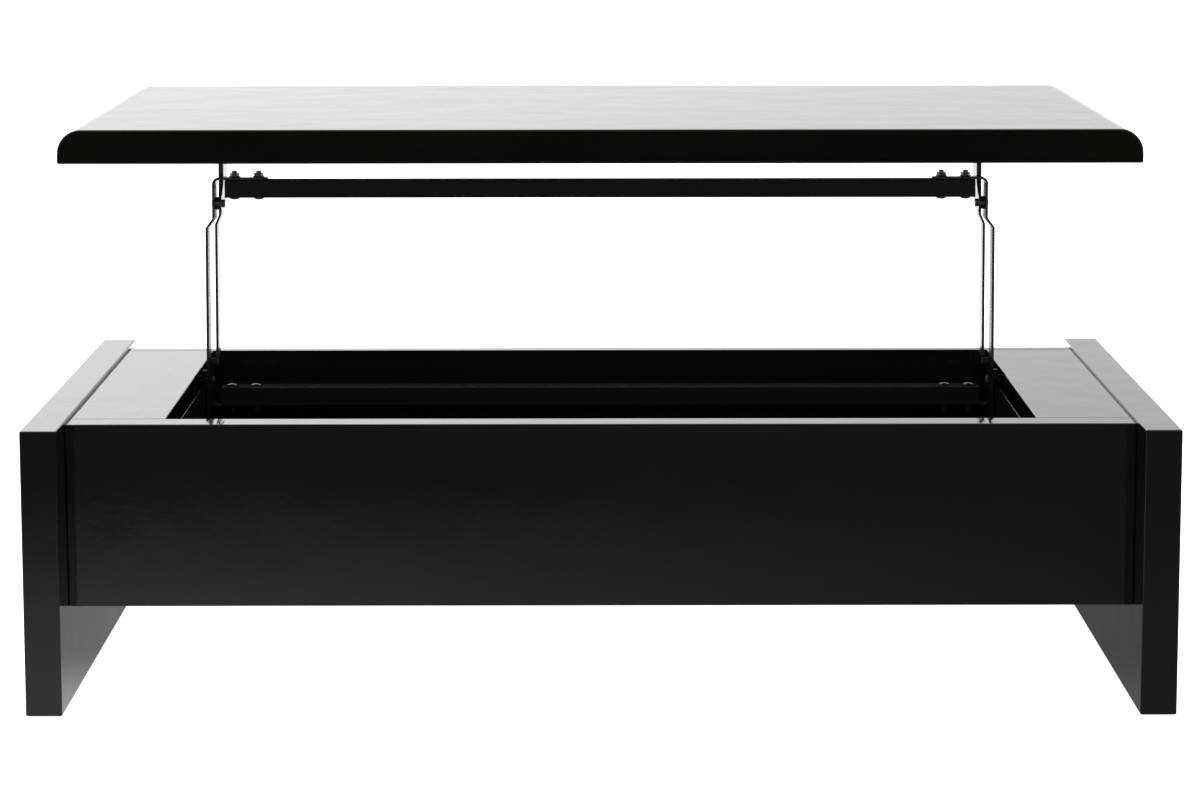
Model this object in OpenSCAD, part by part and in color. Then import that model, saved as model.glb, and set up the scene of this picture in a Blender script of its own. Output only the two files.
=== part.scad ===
// Lift top coffee table: two slab legs, a storage box between them and a lid
// on a parallelogram linkage, shown with the lid raised and resting on its stops.
// Millimetres, +Z up, +X to the right, +Y away from the front panel.
// The origin is on the floor, below the middle of the whole outline.

/* [Table] */
// Overall width, across both legs
table_w = 1200; // [1100:1:1300]
// Depth of the legs, front to back
table_d = 600; // [580:1:640]
// Height of the leg tops above the floor
leg_h = 304; // [300:1:320]
// Thickness of each slab leg
leg_t = 38; // [30:1:45]
// Height of a glide under a leg
glide_h = 2; // [1:0.5:4]

/* [Storage box] */
// Height of the box's top above the floor
box_top = 300; // [296:1:300]
// Height of the box's lower edge above the floor
box_low = 105; // [90:1:115]
// Distance of the front panel's face behind the legs' front edges
front_inset = 59.5; // [40:0.5:62]
// Thickness of the front panel
front_t = 33; // [25:1:35]
// Distance of the back panel's face in front of the legs' rear edges
back_inset = 42; // [30:1:45]
// Thickness of the back panel
back_t = 18; // [15:1:20]
// Thickness of the end panels and the partitions
wall_t = 18; // [15:1:20]
// Thickness of the bottom panel
floor_t = 12; // [9:1:15]
// Thickness of the fixed side tops
side_top_t = 25; // [22:1:28]
// Half width of the opening between the side tops
opening_half = 461; // [461:1:464]

/* [Lid] */
// Thickness of the lid
lid_t = 38; // [30:1:40]
// Depth of the lid, front to back
lid_d = 590; // [570:1:600]
// Radius of the round at the left and right ends
lid_end_r = 27; // [10:1:28]
// Gap between the closed lid and the leg tops
lid_gap = 1; // [1:0.1:3]

/* [Linkage] */
// Distance between the two pivots of an arm
arm_len = 260; // [250:1:262]
// Width of an arm
arm_w = 25; // [20:0.5:25]
// Thickness of an arm
arm_t = 3; // [2.5:0.5:3]
// Angle by which a raised arm leans back past the vertical
lean = 3; // [2:0.5:4]
// Front arm's lower pivot, behind the middle of the legs
front_low_y = 130; // [120:1:135]
// Front arm's lower pivot, above the floor
front_low_z = 228.4; // [226:0.1:229]
// Rear arm's pivots, behind the front arm's
link_dy = 29; // [29:0.5:32]
// Rear arm's pivots, above the front arm's
link_dz = 48; // [46:0.5:48]
// Width of a cross tube
tube_w = 40; // [30:1:40]
// Height of a cross tube
tube_h = 20; // [15:1:20]

/* [Fasteners] */
// Radius of a pivot pin
pivot_r = 4; // [3:0.5:4]
// Radius of a machine bolt
bolt_r = 3; // [2.5:0.5:3]
// Radius of a wood screw
screw_r = 2; // [1.5:0.25:2]
// Radial clearance of a pin or screw in its hole
fit = 0.05; // [0.02:0.01:0.08]

/* [Hidden] */
$fn = 48;

lacquer = [0.03, 0.03, 0.03];
black_steel = [0.07, 0.07, 0.07];
dark_zinc = [0.25, 0.25, 0.26];
raw_wood = [0.75, 0.62, 0.45];
rubber = [0.1, 0.1, 0.1];

// Small overlap that lets a cut run out past a face
over = 1;

// The lid's travel from closed to raised, and the place of the origin
lid_dy = arm_len * (cos(lean) + sin(lean));
lid_dz = arm_len * (cos(lean) - sin(lean));
base_y = -(lid_dy + lid_d / 2 - table_d / 2) / 2;
lid_under = leg_h + lid_gap + lid_dz;

// The box's faces
leg_in = table_w / 2 - leg_t;
front_face = -table_d / 2 + front_inset;
front_back = front_face + front_t;
back_face = table_d / 2 - back_inset;
back_front = back_face - back_t;
inner_d = back_front - front_back;
wall_top = box_top - side_top_t;
cleat_h = 15;
cleat_w = 18;
floor_top = box_low + cleat_h + floor_t;

// Leg bolts and inserts: places along the depth and the height
leg_bolt_y = [-150, 180];
leg_bolt_z = [145, 240];
insert_r = 4.5;
insert_len = 15;
insert_room = 5;
leg_bolt_head = 3.5;

// Screws up through the cleats, ending just under the bottom's upper face
bottom_screw_x = [110, 400];
bottom_skin = 3;

// Corner blocks
block = 22;
block_low = 128;
block_h = 120;
block_screw_len = 33;
block_screw_side_z = [150, 225];
block_screw_face_z = [165, 210];

// Dowels between the walls and the side tops
dowel_r = 4;
dowel_len = 30;
dowel_y = [-140, 160];

// Glides
glide_r = 11;
glide_y = 268;
nail_r = 1.25;
nail_len = 12;

// Planes of the linkage, as distances from the table's middle plane
arm_step = 8;
arm_out = opening_half - 6;
arm_in = arm_out - arm_step;
plate_t = 3;
base_plate_in = opening_half - plate_t;
lid_plate_t = 2.5;
spacer_w = 5;
lid_plate_out = arm_in - arm_t - spacer_w;
lid_plate_in = lid_plate_out - lid_plate_t;
pivot_nut_w = 3.6;
pivot_nut_r = 4.6;
pivot_thread_r = 2.5;
pin_head_r = 6.4;
pin_head_w = 2;
spacer_r = 7.5;

// Side play between an arm and what is next to it on its pivot
play = 0.1;

// Outer plane of a rear arm's upper end, right beside the lid bracket
arm_top_clear = 0.3;
arm_top = lid_plate_out + arm_top_clear + arm_t;

// The step of an arm between its two planes, measured from the nearer pivot
step_start = 17;
step_end = 28;

// The rear arm's second step, towards the lid bracket, measured down from its upper pivot
top_step_start = 75;
top_step_end = 64;

// Cross tubes, measured from the pivot next to them
upper_gap = 7.5;
lower_gap = 5;
tube_wall = 1.5;
tube_end_in = 5;
upper_tube_half = lid_plate_in - tube_end_in;
lower_end_in = 14;
lower_tube_half = arm_out - lower_end_in;
strap_bend_r = 8;
strap_len = 64;
tube_bolt_in = 25;
tube_bolt_step = 28;
tube_bolt_r = 6;
tube_bolt_head = 3.3;
bolt_end = 2.5;
nut_flange_r = 6.5;
nut_flange_w = 1.3;
nut_r = 5.6;
nut_w = 5;

// Pivots, raised
front_low = [front_low_y, front_low_z];
rear_low = front_low + [link_dy, link_dz];
rise = arm_len * [sin(lean), cos(lean)];
front_up = front_low + rise;
bracket_h = lid_under - front_up[1];

// Stops between the front and the rear arms
arm_gap = link_dy * cos(lean) - link_dz * sin(lean);
stud_r = 4;
stud_clear = 0.25;
stud_across = arm_gap - arm_w / 2 - stud_clear - stud_r;
stud_along = 75;
stud_shank_r = 2.5;
stud_rim = 1;

// Base bracket outline, from the front arm's lower pivot
base_bracket_points = [
    [-34, -36], [72, -36], [72, 30], [46, 52], [16, 52], [-34, 14]
];
base_boss_r = 14;
base_screws = [[-24, -26], [62, -26], [62, 22], [-24, 4]];
base_screw_len = 12;
csk_r = 4;

// Lid bracket outline, from the front arm's upper pivot
lid_bracket_points = [
    [0, -11], [30, -9], [46, 0], [49, 22], [69, 55], [69, bracket_h],
    [15.5, bracket_h], [15.5, 22], [0, 11]
];
lid_boss_r = 11;
flange_w = 27;
flange_r = 5;
flange_screw_x = lid_plate_out - 17;
flange_screws = [24, 43, 62];
bracket_reach = 100;
lid_screw_len = 18;
pan_r = 4.2;
pan_h = 2.4;

// Lid bumpers
bumper_r = 5;
bumper_h = lid_gap - 0.3;
bumper_y = 250;

// ---------------------------------------------------------------- helpers

// Place a child in the frame of the legs, whose middle is at base_y
module in_base() translate([0, base_y, 0]) children();

// Place a child in the lid's frame: its underside's middle, raised
module in_lid() translate([0, base_y + lid_dy, lid_under]) children();

// Place a child on an arm: the lower pivot at the origin, +Z along the arm
module on_arm(pivot) {
    translate([0, base_y + pivot[0], pivot[1]]) rotate([-lean, 0, 0]) children();
}

module on_left() mirror([1, 0, 0]) children();

module both_sides() {
    children();
    on_left() children();
}

// A board from its lowest corner and its size, in the frame of the legs
module board(low, size) in_base() translate(low) cube(size);

// A rod along X from x0 to x1, at y and z
module rod_x(x0, x1, y, z, r) {
    translate([x0, y, z]) rotate([0, 90, 0]) cylinder(h = x1 - x0, r = r);
}

// A low round head on the z = 0 plane, rising along +Z
module round_head(r, h) {
    rotate_extrude() intersection() {
        square([r, h]);
        translate([0, h - 2 * r]) circle(r = 2 * r);
    }
}

// A flange nut on the z = 0 plane, rising along +Z
module flange_nut() {
    difference() {
        union() {
            cylinder(h = nut_flange_w, r = nut_flange_r);
            cylinder(h = nut_w, r = nut_r, $fn = 6);
        }
        translate([0, 0, -over]) cylinder(h = nut_w + 2 * over, r = bolt_r + fit);
    }
}

// ---------------------------------------------------------------- legs

module leg_bolt_places() {
    for (y = leg_bolt_y) for (z = leg_bolt_z) translate([0, y, z]) children();
}

module glide_places() {
    for (y = [-glide_y, glide_y]) translate([leg_in + leg_t / 2, y, 0]) children();
}

module leg() {
    color(lacquer) in_base() difference() {
        translate([leg_in, -table_d / 2, glide_h]) cube([leg_t, table_d, leg_h - glide_h]);
        leg_bolt_places() rod_x(leg_in - over, leg_in + insert_len + insert_room, 0, 0, insert_r + fit);
        glide_places() cylinder(h = glide_h + nail_len + fit, r = nail_r + fit);
    }
}

module left_leg() on_left() leg();

module right_leg() leg();

module leg_glides() {
    color(rubber) in_base() both_sides() glide_places() {
        cylinder(h = glide_h, r = glide_r);
        cylinder(h = glide_h + nail_len, r = nail_r);
    }
}

module leg_inserts() {
    color(dark_zinc) in_base() both_sides() leg_bolt_places() difference() {
        rod_x(leg_in, leg_in + insert_len, 0, 0, insert_r);
        rod_x(leg_in - over, leg_in + insert_len + over, 0, 0, bolt_r + fit);
    }
}

module leg_bolts() {
    color(dark_zinc) in_base() both_sides() leg_bolt_places() {
        rod_x(leg_in - wall_t - leg_bolt_head, leg_in - wall_t, 0, 0, tube_bolt_r);
        rod_x(leg_in - wall_t, leg_in + insert_len, 0, 0, bolt_r);
    }
}

// ---------------------------------------------------------------- box

// The places of the four corner blocks of one side
module block_places() {
    for (front = [true, false]) for (outer = [true, false]) {
        x = outer ? leg_in - wall_t - block : opening_half + wall_t;
        y = front ? front_back : back_front - block;
        translate([x, y, block_low]) children();
    }
}

// The screws through the corner blocks of one side, swollen by grow
module block_screw_set(grow) {
    wall_in = opening_half + wall_t;
    wall_out = leg_in - wall_t;
    for (y = [front_back + block / 2, back_front - block / 2]) for (z = block_screw_side_z) {
        block_screw(wall_in + block, y, z, -90, grow);
        block_screw(wall_out - block, y, z, 90, grow);
    }
    for (x = [wall_in + block / 2, wall_out - block / 2]) for (z = block_screw_face_z) {
        block_screw(x, front_back + block, z, 180, grow);
        block_screw(x, back_front - block, z, 0, grow);
    }
}

// One screw with its head at x, y, z: turn 0 drives it along +Y, 90 along +X
module block_screw(x, y, z, turn, grow) {
    translate([x, y, z]) rotate([0, 0, -turn]) rotate([-90, 0, 0]) {
        cylinder(h = block_screw_len + grow, r = screw_r + grow);
        rotate([180, 0, 0]) round_head(pan_r, pan_h);
    }
}

module front_panel() {
    color(lacquer) difference() {
        board([-leg_in, front_face, box_low], [2 * leg_in, front_t, box_top - box_low]);
        in_base() both_sides() block_screw_set(fit);
        in_base() both_sides() bottom_screw_set(fit);
    }
}

module back_panel() {
    color(lacquer) difference() {
        board([-leg_in, back_front, box_low], [2 * leg_in, back_t, box_top - box_low]);
        in_base() both_sides() block_screw_set(fit);
    }
}

module end_panel() {
    color(lacquer) in_base() difference() {
        translate([leg_in - wall_t, front_back, box_low]) cube([wall_t, inner_d, wall_top - box_low]);
        leg_bolt_places() rod_x(leg_in - wall_t - over, leg_in + over, 0, 0, bolt_r + fit);
        block_screw_set(fit);
        dowel_set(fit);
    }
}

module left_end_panel() on_left() end_panel();

module right_end_panel() end_panel();

module partition() {
    color(lacquer) in_base() difference() {
        translate([opening_half, front_back, floor_top]) cube([wall_t, inner_d, wall_top - floor_top]);
        block_screw_set(fit);
        dowel_set(fit);
        base_screw_set(fit);
    }
}

module left_partition() on_left() partition();

module right_partition() partition();

module bottom_screw_set(grow) {
    for (x = bottom_screw_x) for (y = [front_back + cleat_w / 2, back_front - cleat_w / 2]) {
        translate([x, y, box_low]) {
            mirror([0, 0, 1]) round_head(pan_r, pan_h);
            cylinder(h = cleat_h + floor_t - bottom_skin + grow, r = screw_r + grow);
        }
    }
}

module bottom_panel() {
    color(lacquer) difference() {
        board([-opening_half - wall_t, front_back, box_low + cleat_h],
            [2 * (opening_half + wall_t), inner_d, floor_t]);
        in_base() both_sides() bottom_screw_set(fit);
    }
}

module bottom_cleats() {
    color(lacquer) difference() {
        for (y = [front_back, back_front - cleat_w]) {
            board([-opening_half - wall_t, y, box_low], [2 * (opening_half + wall_t), cleat_w, cleat_h]);
        }
        in_base() both_sides() bottom_screw_set(fit);
    }
}

module bottom_screws() color(dark_zinc) in_base() both_sides() bottom_screw_set(0);

module corner_blocks() {
    color(raw_wood) in_base() both_sides() difference() {
        block_places() cube([block, block, block_h]);
        block_screw_set(fit);
    }
}

module block_screws() color(dark_zinc) in_base() both_sides() block_screw_set(0);

// The dowels that stand up out of the walls into one side top
module dowel_set(grow) {
    for (x = [opening_half + wall_t / 2, leg_in - wall_t / 2]) for (y = dowel_y) {
        translate([x, y, wall_top - dowel_len / 2 - grow]) {
            cylinder(h = dowel_len + 2 * grow, r = dowel_r + grow);
        }
    }
}

module side_top_dowels() color(raw_wood) in_base() both_sides() dowel_set(0);

module side_top() {
    color(lacquer) in_base() difference() {
        translate([opening_half, front_back, wall_top]) cube([leg_in - opening_half, inner_d, side_top_t]);
        dowel_set(fit);
    }
}

module left_side_top() on_left() side_top();

module right_side_top() side_top();

// ---------------------------------------------------------------- base brackets

// The countersunk screws of one base bracket, swollen by grow
module base_screw_set(grow) {
    for (p = base_screws) {
        translate([base_plate_in, front_low[0] + p[0], front_low[1] + p[1]]) rotate([0, 90, 0]) {
            cylinder(h = plate_t, r1 = csk_r + grow, r2 = screw_r + grow);
            cylinder(h = plate_t + base_screw_len + grow, r = screw_r + grow);
        }
    }
}

module base_bracket() {
    color(black_steel) in_base() difference() {
        union() {
            translate([base_plate_in, front_low[0], front_low[1]]) rotate([90, 0, 90]) {
                linear_extrude(plate_t) polygon(base_bracket_points);
            }
            rod_x(base_plate_in, opening_half, rear_low[0], rear_low[1], base_boss_r);
        }
        for (p = [front_low, rear_low]) {
            rod_x(base_plate_in - over, opening_half + over, p[0], p[1], pivot_r + fit);
        }
        base_screw_set(fit);
    }
}

module left_base_bracket() on_left() base_bracket();

module right_base_bracket() base_bracket();

module base_bracket_screws() color(dark_zinc) in_base() both_sides() base_screw_set(0);

module lower_pivot_pins() {
    head = arm_out - arm_t - play;
    color(dark_zinc) in_base() both_sides() for (p = [front_low, rear_low]) {
        rod_x(head, opening_half, p[0], p[1], pivot_r);
        translate([head, p[0], p[1]]) rotate([0, -90, 0]) round_head(pin_head_r, pin_head_w);
    }
}

module lower_spacers() {
    color(dark_zinc) in_base() both_sides() for (p = [front_low, rear_low]) difference() {
        rod_x(arm_out + play, base_plate_in, p[0], p[1], spacer_r);
        rod_x(arm_out - over, base_plate_in + over, p[0], p[1], pivot_r + fit);
    }
}

// ---------------------------------------------------------------- arms

// A quarter ring from +x to +y, between two radii
module quarter_ring(r_in, r_out) {
    intersection() {
        difference() {
            circle(r = r_out);
            circle(r = r_in);
        }
        square(r_out);
    }
}

// Edge view of a strip from the places its outer face runs through: x is the distance
// from the table's middle plane, y runs along the arm from the lower pivot
module strip_edge(outer) {
    inner = [for (i = [len(outer) - 1 : -1 : 0]) outer[i] - [arm_t, 0]];
    polygon(concat(outer, inner));
}

// How far a strip runs straight past its pivot before it bends over a tube
function straight_end(gap) = gap + tube_h + arm_t - strap_bend_r;

// The end of a strip that bends inwards over a tube, for an outer face at x = face
module bent_end(face, gap) {
    translate([face - strap_bend_r, straight_end(gap)]) {
        quarter_ring(strap_bend_r - arm_t, strap_bend_r);
        translate([strap_bend_r - strap_len, strap_bend_r - arm_t]) {
            square([strap_len - strap_bend_r, arm_t]);
        }
    }
}

module strip_extrude() {
    rotate([90, 0, 0]) linear_extrude(arm_w, center = true) children();
}

// Plan of a strap over a tube, with its free end round
module strap_plan(face) {
    translate([face - strap_len + arm_w / 2, 0]) circle(r = arm_w / 2);
    translate([face - strap_len + arm_w / 2, -arm_w / 2]) square([strap_len, arm_w]);
}

module front_arm() {
    color(black_steel) on_arm(front_low) difference() {
        intersection() {
            strip_extrude() {
                strip_edge([
                    [arm_out, -arm_w / 2], [arm_out, arm_len - step_end],
                    [arm_in, arm_len - step_start], [arm_in, arm_len + straight_end(upper_gap)]
                ]);
                translate([0, arm_len]) bent_end(arm_in, upper_gap);
            }
            union() {
                rod_x(arm_in - arm_t - over, arm_out + over, 0, 0, arm_w / 2);
                translate([arm_in - arm_t - over, -arm_w / 2, 0]) cube([4 * arm_step, arm_w, arm_len]);
                translate([0, 0, arm_len - over]) linear_extrude(arm_w * 2) strap_plan(arm_in);
            }
        }
        rod_x(arm_out - arm_t - over, arm_out + over, 0, 0, pivot_r + fit);
        rod_x(arm_in - arm_t - over, arm_in + over, 0, arm_len, pivot_r + fit);
        rod_x(arm_out - arm_t - over, arm_out + over, stud_across, stud_along, stud_shank_r + fit);
        tube_bolt_places(arm_in) translate([0, 0, arm_len]) cylinder(h = arm_w * 2, r = bolt_r + fit);
    }
}

module left_front_arm() on_left() front_arm();

module right_front_arm() front_arm();

module rear_arm() {
    color(black_steel) on_arm(rear_low) difference() {
        intersection() {
            strip_extrude() {
                strip_edge([
                    [arm_out, -straight_end(lower_gap)], [arm_out, step_start],
                    [arm_in, step_end], [arm_in, arm_len - top_step_start],
                    [arm_top, arm_len - top_step_end], [arm_top, arm_len + arm_w / 2]
                ]);
                mirror([0, 1]) bent_end(arm_out, lower_gap);
            }
            union() {
                rod_x(arm_top - arm_t - over, arm_out + over, 0, arm_len, arm_w / 2);
                translate([arm_top - arm_t - over, -arm_w / 2, 0]) cube([4 * arm_step, arm_w, arm_len]);
                translate([0, 0, over]) mirror([0, 0, 1]) linear_extrude(arm_w * 2) strap_plan(arm_out);
            }
        }
        rod_x(arm_out - arm_t - over, arm_out + over, 0, 0, pivot_r + fit);
        rod_x(arm_top - arm_t - over, arm_top + over, 0, arm_len, pivot_r + fit);
        tube_bolt_places(arm_out) mirror([0, 0, 1]) cylinder(h = arm_w * 2, r = bolt_r + fit);
    }
}

module left_rear_arm() on_left() rear_arm();

module right_rear_arm() rear_arm();

// The two bolt axes of a strap whose arm has its outer face at x = face
module tube_bolt_places(face) {
    for (i = [0, 1]) translate([face - tube_bolt_in - i * tube_bolt_step, 0, 0]) children();
}

// A tube along X, its face next to the pivot at z = 0
module cross_tube(half, face) {
    difference() {
        translate([-half, -tube_w / 2, 0]) cube([2 * half, tube_w, tube_h]);
        translate([-half - over, -tube_w / 2 + tube_wall, tube_wall]) {
            cube([2 * (half + over), tube_w - 2 * tube_wall, tube_h - 2 * tube_wall]);
        }
        both_sides() tube_bolt_places(face) translate([0, 0, -over]) {
            cylinder(h = tube_h + 2 * over, r = bolt_r + fit);
        }
    }
}

// The bolts of a tube, heads on its z = 0 face
module tube_bolt_set(face) {
    both_sides() tube_bolt_places(face) {
        mirror([0, 0, 1]) round_head(tube_bolt_r, tube_bolt_head);
        cylinder(h = tube_h + arm_t + nut_w + bolt_end, r = bolt_r);
    }
}

module tube_nut_set(face) {
    both_sides() tube_bolt_places(face) translate([0, 0, tube_h + arm_t]) flange_nut();
}

module on_upper_tube() on_arm(front_low) translate([0, 0, arm_len + upper_gap]) children();

module on_lower_tube() on_arm(rear_low) mirror([0, 0, 1]) translate([0, 0, lower_gap]) children();

module upper_cross_tube() color(black_steel) on_upper_tube() cross_tube(upper_tube_half, arm_in);

module upper_tube_bolts() color(dark_zinc) on_upper_tube() tube_bolt_set(arm_in);

module upper_tube_nuts() color(dark_zinc) on_upper_tube() tube_nut_set(arm_in);

module lower_cross_tube() color(black_steel) on_lower_tube() cross_tube(lower_tube_half, arm_out);

module lower_tube_bolts() color(dark_zinc) on_lower_tube() tube_bolt_set(arm_out);

module lower_tube_nuts() color(dark_zinc) on_lower_tube() tube_nut_set(arm_out);

module stop_studs() {
    color(rubber) on_arm(front_low) both_sides() {
        rod_x(arm_in - arm_t, arm_out - arm_t, stud_across, stud_along, stud_r);
        rod_x(arm_out - arm_t, arm_out + stud_rim, stud_across, stud_along, stud_shank_r);
        rod_x(arm_out, arm_out + stud_rim, stud_across, stud_along, stud_r);
    }
}

// ---------------------------------------------------------------- lid

module lid_outline() {
    straight = lid_t - lid_end_r;
    intersection() {
        translate([-table_w / 2, 0]) square([table_w, lid_t]);
        union() {
            translate([-table_w / 2, -over]) square([table_w, straight + over]);
            translate([-table_w / 2 + lid_end_r, 0]) square([table_w - 2 * lid_end_r, lid_t]);
            for (side = [-1, 1]) translate([side * (table_w / 2 - lid_end_r), straight]) circle(r = lid_end_r);
        }
    }
}

// The screws of one lid bracket, heads under its flange
module lid_screw_set(grow) {
    translate([flange_screw_x, base_y + front_up[0], lid_under - lid_plate_t]) {
        for (y = flange_screws) translate([0, y, 0]) {
            mirror([0, 0, 1]) round_head(pan_r, pan_h);
            cylinder(h = lid_plate_t + lid_screw_len + grow, r = screw_r + grow);
        }
    }
}

module lid_board() {
    color(lacquer) difference() {
        in_lid() rotate([90, 0, 0]) linear_extrude(lid_d, center = true) lid_outline();
        both_sides() lid_screw_set(fit);
    }
}

// Edge view of a lid bracket: x from the table's middle plane, y from the front arm's pivot
module lid_bracket_section() {
    translate([lid_plate_in, -lid_boss_r - over]) {
        square([lid_plate_t, bracket_h - flange_r + lid_boss_r + over]);
    }
    translate([lid_plate_out - flange_r, bracket_h - flange_r]) {
        quarter_ring(flange_r - lid_plate_t, flange_r);
    }
    translate([lid_plate_out - flange_w, bracket_h - lid_plate_t]) {
        square([flange_w - flange_r, lid_plate_t]);
    }
}

module lid_bracket() {
    color(black_steel) difference() {
        translate([0, base_y + front_up[0], front_up[1]]) intersection() {
            rotate([90, 0, 0]) linear_extrude(2 * bracket_reach, center = true) lid_bracket_section();
            union() {
                rotate([90, 0, 90]) linear_extrude(lid_plate_out + over) polygon(lid_bracket_points);
                rod_x(lid_plate_in - over, lid_plate_out + over, 0, 0, lid_boss_r);
                rod_x(lid_plate_in - over, lid_plate_out + over, link_dy, link_dz, lid_boss_r);
            }
        }
        upper_pivot_places() rod_x(lid_plate_in - over, lid_plate_out + over, 0, 0, pivot_thread_r + fit);
        lid_screw_set(fit);
    }
}

module left_lid_bracket() on_left() lid_bracket();

module right_lid_bracket() lid_bracket();

module lid_bracket_screws() color(dark_zinc) both_sides() lid_screw_set(0);

module upper_pivot_places() {
    for (p = [front_up, rear_low + rise]) translate([0, base_y + p[0], p[1]]) children();
}

// A shoulder bolt at p whose head bears on a face at x = face
module upper_pivot_bolt(p, face) {
    translate([0, base_y + p[0], p[1]]) {
        rod_x(lid_plate_in - pivot_nut_w, lid_plate_out, 0, 0, pivot_thread_r);
        rod_x(lid_plate_out, face, 0, 0, pivot_r);
        translate([face, 0, 0]) rotate([0, 90, 0]) round_head(pin_head_r, pin_head_w);
    }
}

module upper_pivot_bolts() {
    color(dark_zinc) both_sides() {
        upper_pivot_bolt(front_up, arm_in + play);
        upper_pivot_bolt(rear_low + rise, arm_top + play);
    }
}

module upper_pivot_nuts() {
    color(dark_zinc) both_sides() upper_pivot_places() difference() {
        translate([lid_plate_in - pivot_nut_w, 0, 0]) rotate([0, 90, 0]) {
            cylinder(h = pivot_nut_w, r = pivot_nut_r, $fn = 6);
        }
        rod_x(lid_plate_in - pivot_nut_w - over, lid_plate_in + over, 0, 0, pivot_thread_r + fit);
    }
}

// Spacers between the lid brackets and the front arms
module upper_spacers() {
    color(dark_zinc) both_sides() translate([0, base_y + front_up[0], front_up[1]]) difference() {
        rod_x(lid_plate_out, arm_in - arm_t - play, 0, 0, spacer_r);
        rod_x(lid_plate_out - over, arm_in - arm_t + over, 0, 0, pivot_r + fit);
    }
}

module lid_bumpers() {
    color(rubber) in_lid() both_sides() for (y = [-bumper_y, bumper_y]) {
        translate([leg_in + leg_t / 2, y, -bumper_h]) cylinder(h = bumper_h, r = bumper_r);
    }
}

// ---------------------------------------------------------------- drawing

left_leg();
right_leg();
leg_glides();
leg_inserts();
leg_bolts();
front_panel();
back_panel();
left_end_panel();
right_end_panel();
left_partition();
right_partition();
bottom_panel();
bottom_cleats();
bottom_screws();
corner_blocks();
block_screws();
left_side_top();
right_side_top();
side_top_dowels();
left_base_bracket();
right_base_bracket();
base_bracket_screws();
lower_pivot_pins();
lower_spacers();
left_front_arm();
right_front_arm();
upper_cross_tube();
upper_tube_bolts();
upper_tube_nuts();
stop_studs();
left_rear_arm();
right_rear_arm();
lower_cross_tube();
lower_tube_bolts();
lower_tube_nuts();
lid_board();
left_lid_bracket();
right_lid_bracket();
lid_bracket_screws();
upper_pivot_bolts();
upper_pivot_nuts();
upper_spacers();
lid_bumpers();
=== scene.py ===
from math import cos, pi, radians, sin

import bmesh
import bpy
from mathutils import Matrix, Vector


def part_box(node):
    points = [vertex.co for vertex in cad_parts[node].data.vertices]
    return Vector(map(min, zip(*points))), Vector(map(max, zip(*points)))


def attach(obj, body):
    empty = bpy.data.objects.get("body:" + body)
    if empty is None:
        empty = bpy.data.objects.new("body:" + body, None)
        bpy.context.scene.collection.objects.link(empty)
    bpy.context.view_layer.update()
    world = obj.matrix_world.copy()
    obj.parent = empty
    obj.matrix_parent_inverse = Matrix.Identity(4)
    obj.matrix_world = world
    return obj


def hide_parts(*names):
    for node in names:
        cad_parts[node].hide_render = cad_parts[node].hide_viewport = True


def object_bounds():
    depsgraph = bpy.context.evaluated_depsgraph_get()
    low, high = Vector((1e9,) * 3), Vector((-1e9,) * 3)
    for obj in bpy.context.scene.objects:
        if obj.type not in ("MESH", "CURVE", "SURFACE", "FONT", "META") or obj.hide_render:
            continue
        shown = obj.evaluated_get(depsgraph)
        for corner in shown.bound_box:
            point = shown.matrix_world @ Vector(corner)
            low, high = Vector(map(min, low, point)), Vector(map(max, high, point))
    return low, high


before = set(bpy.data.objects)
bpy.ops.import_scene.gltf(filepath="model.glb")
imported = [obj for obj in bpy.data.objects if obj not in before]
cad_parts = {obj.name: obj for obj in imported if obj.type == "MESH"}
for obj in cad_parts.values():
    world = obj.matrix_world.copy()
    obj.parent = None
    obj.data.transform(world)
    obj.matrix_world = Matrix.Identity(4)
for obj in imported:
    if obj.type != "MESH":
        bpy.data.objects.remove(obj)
cad_box = [list(corner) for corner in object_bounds()]
scene = bpy.context.scene

MM = 0.001

# ------------------------------------------------------------------ materials


def new_material(name, colour, roughness, metallic=0.0, ior=1.5):
    """A material with its own Principled shader, and the node tree to add to."""
    material = bpy.data.materials.new(name)
    material.use_nodes = True
    shader = material.node_tree.nodes["Principled BSDF"]
    shader.inputs["Base Color"].default_value = (*colour, 1.0)
    shader.inputs["Roughness"].default_value = roughness
    shader.inputs["Metallic"].default_value = metallic
    shader.inputs["IOR"].default_value = ior
    return material, material.node_tree, shader


def add(tree, kind, **sockets):
    """Adds a node and sets its input sockets by name, spaces written as underscores."""
    node = tree.nodes.new(kind)
    for key, value in sockets.items():
        node.inputs[key.replace("_", " ")].default_value = value
    return node


def object_point(tree, scale=(1, 1, 1)):
    """The point in the object's own metres, stretched by scale."""
    coord = tree.nodes.new("ShaderNodeTexCoord")
    mapping = add(tree, "ShaderNodeMapping", Scale=scale)
    tree.links.new(coord.outputs["Object"], mapping.inputs["Vector"])
    return mapping.outputs["Vector"]


def noise(tree, scale, detail=2.0, stretch=(1, 1, 1)):
    node = add(tree, "ShaderNodeTexNoise", Scale=scale, Detail=detail)
    tree.links.new(object_point(tree, stretch), node.inputs["Vector"])
    return node.outputs["Fac"]


def spread(tree, value, low, high):
    """Spreads a 0 to 1 value over low to high."""
    node = add(tree, "ShaderNodeMapRange", From_Min=0.25, From_Max=0.75, To_Min=low, To_Max=high)
    tree.links.new(value, node.inputs["Value"])
    return node.outputs["Result"]


def tint(tree, value, dark, light):
    node = tree.nodes.new("ShaderNodeValToRGB")
    node.color_ramp.elements[0].position = 0.3
    node.color_ramp.elements[0].color = (*dark, 1)
    node.color_ramp.elements[1].position = 0.7
    node.color_ramp.elements[1].color = (*light, 1)
    tree.links.new(value, node.inputs["Fac"])
    return node.outputs["Color"]


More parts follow.
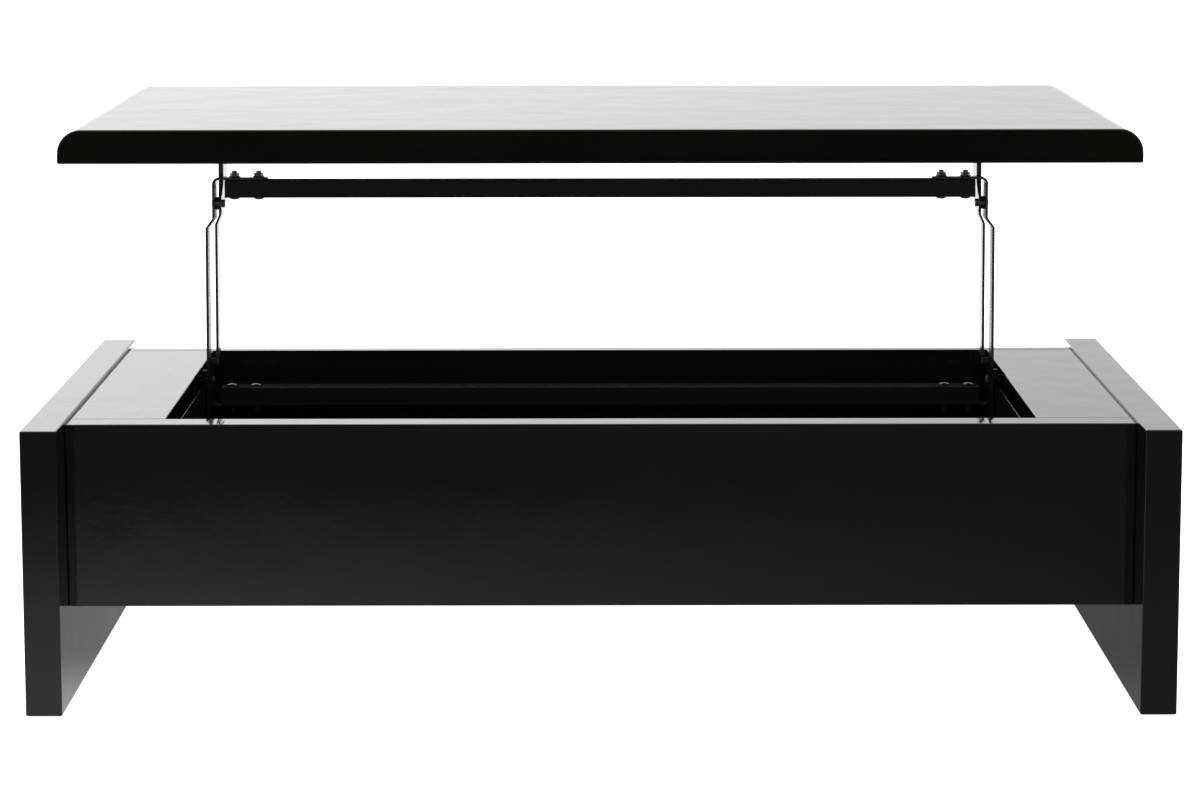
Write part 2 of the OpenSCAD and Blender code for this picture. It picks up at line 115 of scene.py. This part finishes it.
def times(tree, first, second):
    node = tree.nodes.new("ShaderNodeMath")
    node.operation = "MULTIPLY"
    tree.links.new(first, node.inputs[0])
    tree.links.new(second, node.inputs[1])
    return node.outputs["Value"]


def on_tops(tree, value):
    """Keeps a value on level upward faces only."""
    geometry = tree.nodes.new("ShaderNodeNewGeometry")
    split = tree.nodes.new("ShaderNodeSeparateXYZ")
    level = add(tree, "ShaderNodeMapRange", From_Min=0.9, From_Max=0.99)
    tree.links.new(geometry.outputs["True Normal"], split.inputs[0])
    tree.links.new(split.outputs["Z"], level.inputs["Value"])
    return times(tree, value, level.outputs["Result"])


def bump(tree, shader, layers):
    """Chains bumps onto the shader: layers are (height socket, distance in metres)."""
    normal = None
    for height, distance in layers:
        node = add(tree, "ShaderNodeBump", Strength=1.0, Distance=distance)
        tree.links.new(height, node.inputs["Height"])
        if normal is not None:
            tree.links.new(normal, node.inputs["Normal"])
        normal = node.outputs["Normal"]
    tree.links.new(normal, shader.inputs["Normal"])


def lacquer(name, base, haze, peel):
    """Piano lacquer: near black under a clear gloss, with orange peel and faint polishing haze."""
    material, tree, shader = new_material(name, base, haze)
    tree.links.new(spread(tree, noise(tree, 9.0, 5.0), haze * 0.6, haze * 1.5), shader.inputs["Roughness"])
    tree.links.new(
        tint(tree, noise(tree, 3.0, 3.0), [c * 0.8 for c in base], [c * 1.25 for c in base]),
        shader.inputs["Base Color"],
    )
    bump(tree, shader, [
        (noise(tree, 14.0, 1.0), peel * 4.0),
        (noise(tree, 140.0, 2.0), peel * 0.5),
        (on_tops(tree, noise(tree, 90.0, 3.0, stretch=(1, 0.12, 1))), peel * 1.8),
    ])
    return material


def steel_coat(name, roughness, ior):
    """Black powder coat with its fine grain."""
    material, tree, shader = new_material(name, (0.008, 0.0085, 0.007), roughness, ior=ior)
    tree.links.new(
        spread(tree, noise(tree, 60.0, 4.0), roughness * 0.85, roughness * 1.15), shader.inputs["Roughness"]
    )
    bump(tree, shader, [(noise(tree, 900.0, 2.0), 0.000010)])
    return material


def zinc(name, colour, roughness):
    """Dark plated steel, with a finely bumped and slightly mottled face."""
    material, tree, shader = new_material(name, colour, roughness, metallic=1.0)
    mottle = noise(tree, 400.0, 3.0)
    tree.links.new(
        tint(tree, mottle, [c * 0.7 for c in colour], [c * 1.2 for c in colour]),
        shader.inputs["Base Color"],
    )
    tree.links.new(spread(tree, mottle, roughness * 0.7, roughness * 1.3), shader.inputs["Roughness"])
    bump(tree, shader, [(noise(tree, 1500.0, 2.0), 0.00002)])
    return material


def softwood():
    """Bare planed softwood, with rings drawn out along the board."""
    material, tree, shader = new_material("softwood", (0.5, 0.36, 0.2), 0.6)
    grain = noise(tree, 60.0, 4.0, stretch=(3, 3, 0.15))
    tree.links.new(tint(tree, grain, (0.36, 0.22, 0.1), (0.62, 0.46, 0.27)), shader.inputs["Base Color"])
    tree.links.new(spread(tree, grain, 0.7, 0.5), shader.inputs["Roughness"])
    bump(tree, shader, [(grain, 0.0003)])
    return material


def matt(name, colour, roughness):
    """Rubber or moulded plastic with a fine texture."""
    material, tree, shader = new_material(name, colour, roughness)
    grain = noise(tree, 700.0, 3.0)
    tree.links.new(spread(tree, grain, roughness * 0.85, roughness * 1.1), shader.inputs["Roughness"])
    bump(tree, shader, [(grain, 0.00008)])
    return material


LACQUER = lacquer("black_lacquer", (0.0022, 0.0026, 0.0016), 0.03, 0.00015)
INTERIOR = lacquer("interior_lacquer", (0.012, 0.0135, 0.011), 0.12, 0.00008)
# Back panel lacquer: its lighter base colour is painted light, offsetting the shade the lid casts on the
# back wall.
BACK_WITH_PAINTED_LIGHT = lacquer("back_lacquer_painted_light", (0.006, 0.007, 0.0055), 0.05, 0.00012)
STEEL = steel_coat("black_powder_coat", 0.22, 1.5)
TUBE = steel_coat("matt_powder_coat", 0.75, 1.12)
ZINC = zinc("dark_zinc", (0.16, 0.16, 0.165), 0.32)
WOOD = softwood()
RUBBER = matt("black_rubber", (0.015, 0.015, 0.015), 0.6)
PLASTIC = matt("glide_plastic", (0.02, 0.02, 0.02), 0.4)

# ------------------------------------------------------------------ mesh helpers


def piece(name, bm, body, material, stands_for=()):
    """Turns a bmesh into a smooth-shaded piece on a body."""
    bmesh.ops.recalc_face_normals(bm, faces=bm.faces)
    mesh = bpy.data.meshes.new(name)
    bm.to_mesh(mesh)
    bm.free()
    for polygon in mesh.polygons:
        polygon.use_smooth = True
    obj = bpy.data.objects.new(name, mesh)
    scene.collection.objects.link(obj)
    mesh.materials.append(material)
    weighted = obj.modifiers.new("flat_faces", "WEIGHTED_NORMAL")
    weighted.weight = 100
    weighted.keep_sharp = True
    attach(obj, body)
    if stands_for:
        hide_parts(*stands_for)
    return obj


def sharp_edges(bm, least=radians(30)):
    return [e for e in bm.edges if len(e.link_faces) == 2 and e.calc_face_angle(0) > least]


def ease(bm, edges, width, segments=3):
    """Rounds edges over by width."""
    bmesh.ops.bevel(
        bm, geom=edges, offset=width, offset_type="OFFSET", segments=segments, profile=0.5, affect="EDGES",
        clamp_overlap=True,
    )


def box_mesh(low, high):
    bm = bmesh.new()
    bmesh.ops.create_cube(bm, size=1.0)
    size = high - low
    bmesh.ops.transform(bm, matrix=Matrix.Diagonal((*size, 1.0)), verts=bm.verts)
    bmesh.ops.translate(bm, vec=(low + high) / 2, verts=bm.verts)
    return bm


def board(node, body, material, arris):
    """An eased board in place of a CAD board."""
    low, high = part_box(node)
    bm = box_mesh(low, high)
    ease(bm, list(bm.edges), arris)
    return piece(node + "_finished", bm, body, material, [node])


def soften(node, material, width=0.4 * MM):
    """Gives a CAD node a material, and breaks its edges with modifiers."""
    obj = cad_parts[node]
    obj.data.materials.clear()
    obj.data.materials.append(material)
    weld = obj.modifiers.new("weld", "WELD")
    weld.merge_threshold = 0.00001
    bevel = obj.modifiers.new("break_edges", "BEVEL")
    bevel.width = width
    bevel.segments = 2
    bevel.limit_method = "ANGLE"
    bevel.angle_limit = radians(40)
    weighted = obj.modifiers.new("flat_faces", "WEIGHTED_NORMAL")
    weighted.weight = 100


# ------------------------------------------------------------------ boards

BOARDS = {
    "left_leg": 1.6, "right_leg": 1.6, "front_panel": 1.2, "back_panel": 1.0,
    "left_side_top": 1.0, "right_side_top": 1.0,
}
INNER_BOARDS = ["left_end_panel", "right_end_panel", "left_partition", "right_partition", "bottom_panel"]


def dress_boards():
    for node, arris in BOARDS.items():
        # The back panel takes the lacquer whose lighter base colour is painted light.
        finish = BACK_WITH_PAINTED_LIGHT if node == "back_panel" else LACQUER
        board(node, "base", finish, arris * MM)
    for node in INNER_BOARDS:
        board(node, "base", INTERIOR, 0.6 * MM)


def lid():
    """The lid: quarter-round left and right ends, eased front and back edges."""
    low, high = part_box("lid_board")
    end_r = 27 * MM
    steps = 20
    outline = [(low.x, low.z), (low.x, high.z - end_r)]
    for i in range(1, steps):
        a = pi - pi / 2 * i / steps
        outline.append((low.x + end_r + end_r * cos(a), high.z - end_r + end_r * sin(a)))
    outline.append((low.x + end_r, high.z))
    outline += [(-x, z) for x, z in reversed(outline)]
    bm = bmesh.new()
    ring = [bm.verts.new((x, low.y, z)) for x, z in outline]
    face = bm.faces.new(ring)
    made = bmesh.ops.extrude_face_region(bm, geom=[face])
    moved = [g for g in made["geom"] if isinstance(g, bmesh.types.BMVert)]
    bmesh.ops.translate(bm, vec=(0, high.y - low.y, 0), verts=moved)
    ease(bm, sharp_edges(bm), 2.0 * MM)
    piece("lid_finished", bm, "lid", LACQUER, ["lid_board"])


dress_boards()
lid()

# ------------------------------------------------------------------ steel work

for node in [
    "left_base_bracket", "right_base_bracket", "left_front_arm", "right_front_arm",
    "left_rear_arm", "right_rear_arm", "left_lid_bracket", "right_lid_bracket",
]:
    soften(node, STEEL)

for node in ["upper_cross_tube", "lower_cross_tube"]:
    soften(node, TUBE)

for node in [
    "leg_inserts", "leg_bolts", "bottom_screws", "block_screws", "base_bracket_screws", "lower_pivot_pins",
    "lower_spacers", "upper_tube_bolts", "upper_tube_nuts", "lower_tube_bolts", "lower_tube_nuts",
    "lid_bracket_screws", "upper_pivot_bolts", "upper_pivot_nuts", "upper_spacers",
]:
    soften(node, ZINC, 0.3 * MM)

soften("bottom_cleats", INTERIOR)
soften("corner_blocks", WOOD)
soften("side_top_dowels", WOOD)
soften("stop_studs", RUBBER)
soften("lid_bumpers", RUBBER, 0.15 * MM)
soften("leg_glides", PLASTIC)

# ------------------------------------------------------------------ studio


def plane(name, low, high, z, material):
    mesh = bpy.data.meshes.new(name)
    corners = [(low[0], low[1], z), (high[0], low[1], z), (high[0], high[1], z), (low[0], high[1], z)]
    mesh.from_pydata(corners, [], [(0, 1, 2, 3)])
    obj = bpy.data.objects.new(name, mesh)
    scene.collection.objects.link(obj)
    mesh.materials.append(material)
    return obj


def floor_material():
    """Pale floor that glows a little, so that shadows stay soft."""
    material, tree, shader = new_material("studio_floor", (0.86, 0.86, 0.86), 0.9)
    shader.inputs["Emission Color"].default_value = (1, 1, 1, 1)
    shader.inputs["Emission Strength"].default_value = 1.0
    return material


def ramp(tree, value, start, end, low, high):
    """Eases from low at start to high at end."""
    node = add(tree, "ShaderNodeMapRange", From_Min=start, From_Max=end, To_Min=low, To_Max=high)
    node.interpolation_type = "SMOOTHSTEP"
    tree.links.new(value, node.inputs["Value"])
    return node.outputs["Result"]


def painted_reflection_material(front):
    """A dim glowing card on the floor that only reflections see, a painted reflection: painted light
    brightest at the legs' front, y = front, with painted shade under the table and towards the right.
    """
    material = bpy.data.materials.new("painted_floor_reflection")
    material.use_nodes = True
    tree = material.node_tree
    tree.nodes.clear()
    coord = tree.nodes.new("ShaderNodeTexCoord")
    split = tree.nodes.new("ShaderNodeSeparateXYZ")
    glow = tree.nodes.new("ShaderNodeEmission")
    total = tree.nodes.new("ShaderNodeMath")
    out = tree.nodes.new("ShaderNodeOutputMaterial")
    tree.links.new(coord.outputs["Object"], split.inputs[0])
    # Painted light and shade of the floor in reflections: bright just before the legs, painted shade under
    # the table and towards the right, a faint glow farther out.
    near = ramp(tree, split.outputs["Y"], front - 1.2, front, 0.0, 0.65)
    under = ramp(tree, split.outputs["Y"], front, front + 0.3, 1.0, 0.33)
    side = ramp(tree, split.outputs["X"], -0.65, 0.65, 1.0, 0.15)
    middle = ramp(tree, split.outputs["Y"], front - 4.5, front - 2.0, 0.02, 0.1)
    tree.links.new(times(tree, times(tree, near, under), side), total.inputs[0])
    tree.links.new(middle, total.inputs[1])
    tree.links.new(total.outputs["Value"], glow.inputs["Strength"])
    tree.links.new(glow.outputs[0], out.inputs["Surface"])
    return material


def studio():
    low, high = [Vector(corner) for corner in cad_box]
    plane("studio_floor", (-30, -30), (30, 30), 0.0, floor_material())
    # A glowing card that only reflections see: a painted reflection of a lit floor with painted shade under
    # the table.
    reflection_card = plane(
        "painted_floor_reflection", (-6, low.y - 9), (6, high.y + 1.2), 0.0006, painted_reflection_material(low.y)
    )
    for kind in ("camera", "diffuse", "shadow", "transmission", "volume_scatter"):
        setattr(reflection_card, "visible_" + kind, False)

    world = bpy.data.worlds.new("studio_world")
    scene.world = world
    world.use_nodes = True
    tree = world.node_tree
    background = tree.nodes["Background"]
    coord = tree.nodes.new("ShaderNodeTexCoord")
    split = tree.nodes.new("ShaderNodeSeparateXYZ")
    tree.links.new(coord.outputs["Generated"], split.inputs[0])
    low_sky = ramp(tree, split.outputs["X"], -0.16, 0.16, 1.29, 1.06)
    high_sky = ramp(tree, split.outputs["X"], -0.16, 0.16, 1.72, 1.12)
    sky = add(tree, "ShaderNodeMapRange", From_Min=0.1, From_Max=0.18)
    sky.interpolation_type = "SMOOTHSTEP"
    tree.links.new(split.outputs["Z"], sky.inputs["Value"])
    tree.links.new(low_sky, sky.inputs["To Min"])
    tree.links.new(high_sky, sky.inputs["To Max"])
    front = ramp(tree, split.outputs["Y"], -0.7, 0.3, 0.12, 1.0)
    tree.links.new(times(tree, sky.outputs["Result"], front), background.inputs["Strength"])
    background.inputs["Color"].default_value = (1, 1, 1, 1)

    light = bpy.data.lights.new("overhead", "AREA")
    light.shape = "RECTANGLE"
    light.size, light.size_y = 3.5, 3.0
    light.energy = 60
    lamp = bpy.data.objects.new("overhead", light)
    lamp.location = (-0.6, 0.6, 3.2)
    scene.collection.objects.link(lamp)

    light = bpy.data.lights.new("front_fill", "AREA")
    light.shape = "RECTANGLE"
    light.size, light.size_y = 3.0, 1.5
    light.energy = 40
    lamp = bpy.data.objects.new("front_fill", light)
    lamp.location = (0.0, low.y - 3.0, 1.7)
    lamp.rotation_euler = (radians(65), 0.0, 0.0)
    lamp.visible_glossy = False
    scene.collection.objects.link(lamp)


def camera():
    """At the height of a standing viewer's waist, looking a little down at the front."""
    low, high = [Vector(corner) for corner in cad_box]
    data = bpy.data.cameras.new("camera")
    data.sensor_width = 36.0
    data.lens = 99.57
    data.shift_y = -0.12
    data.clip_start, data.clip_end = 0.1, 100.0
    obj = bpy.data.objects.new("camera", data)
    obj.location = (-0.0071, low.y - 3.3655, 0.9378)
    obj.rotation_euler = (radians(90 - 7.651), radians(0.059), radians(-0.112))
    scene.collection.objects.link(obj)
    scene.camera = obj


studio()
camera()
scene.view_settings.view_transform = "Standard"
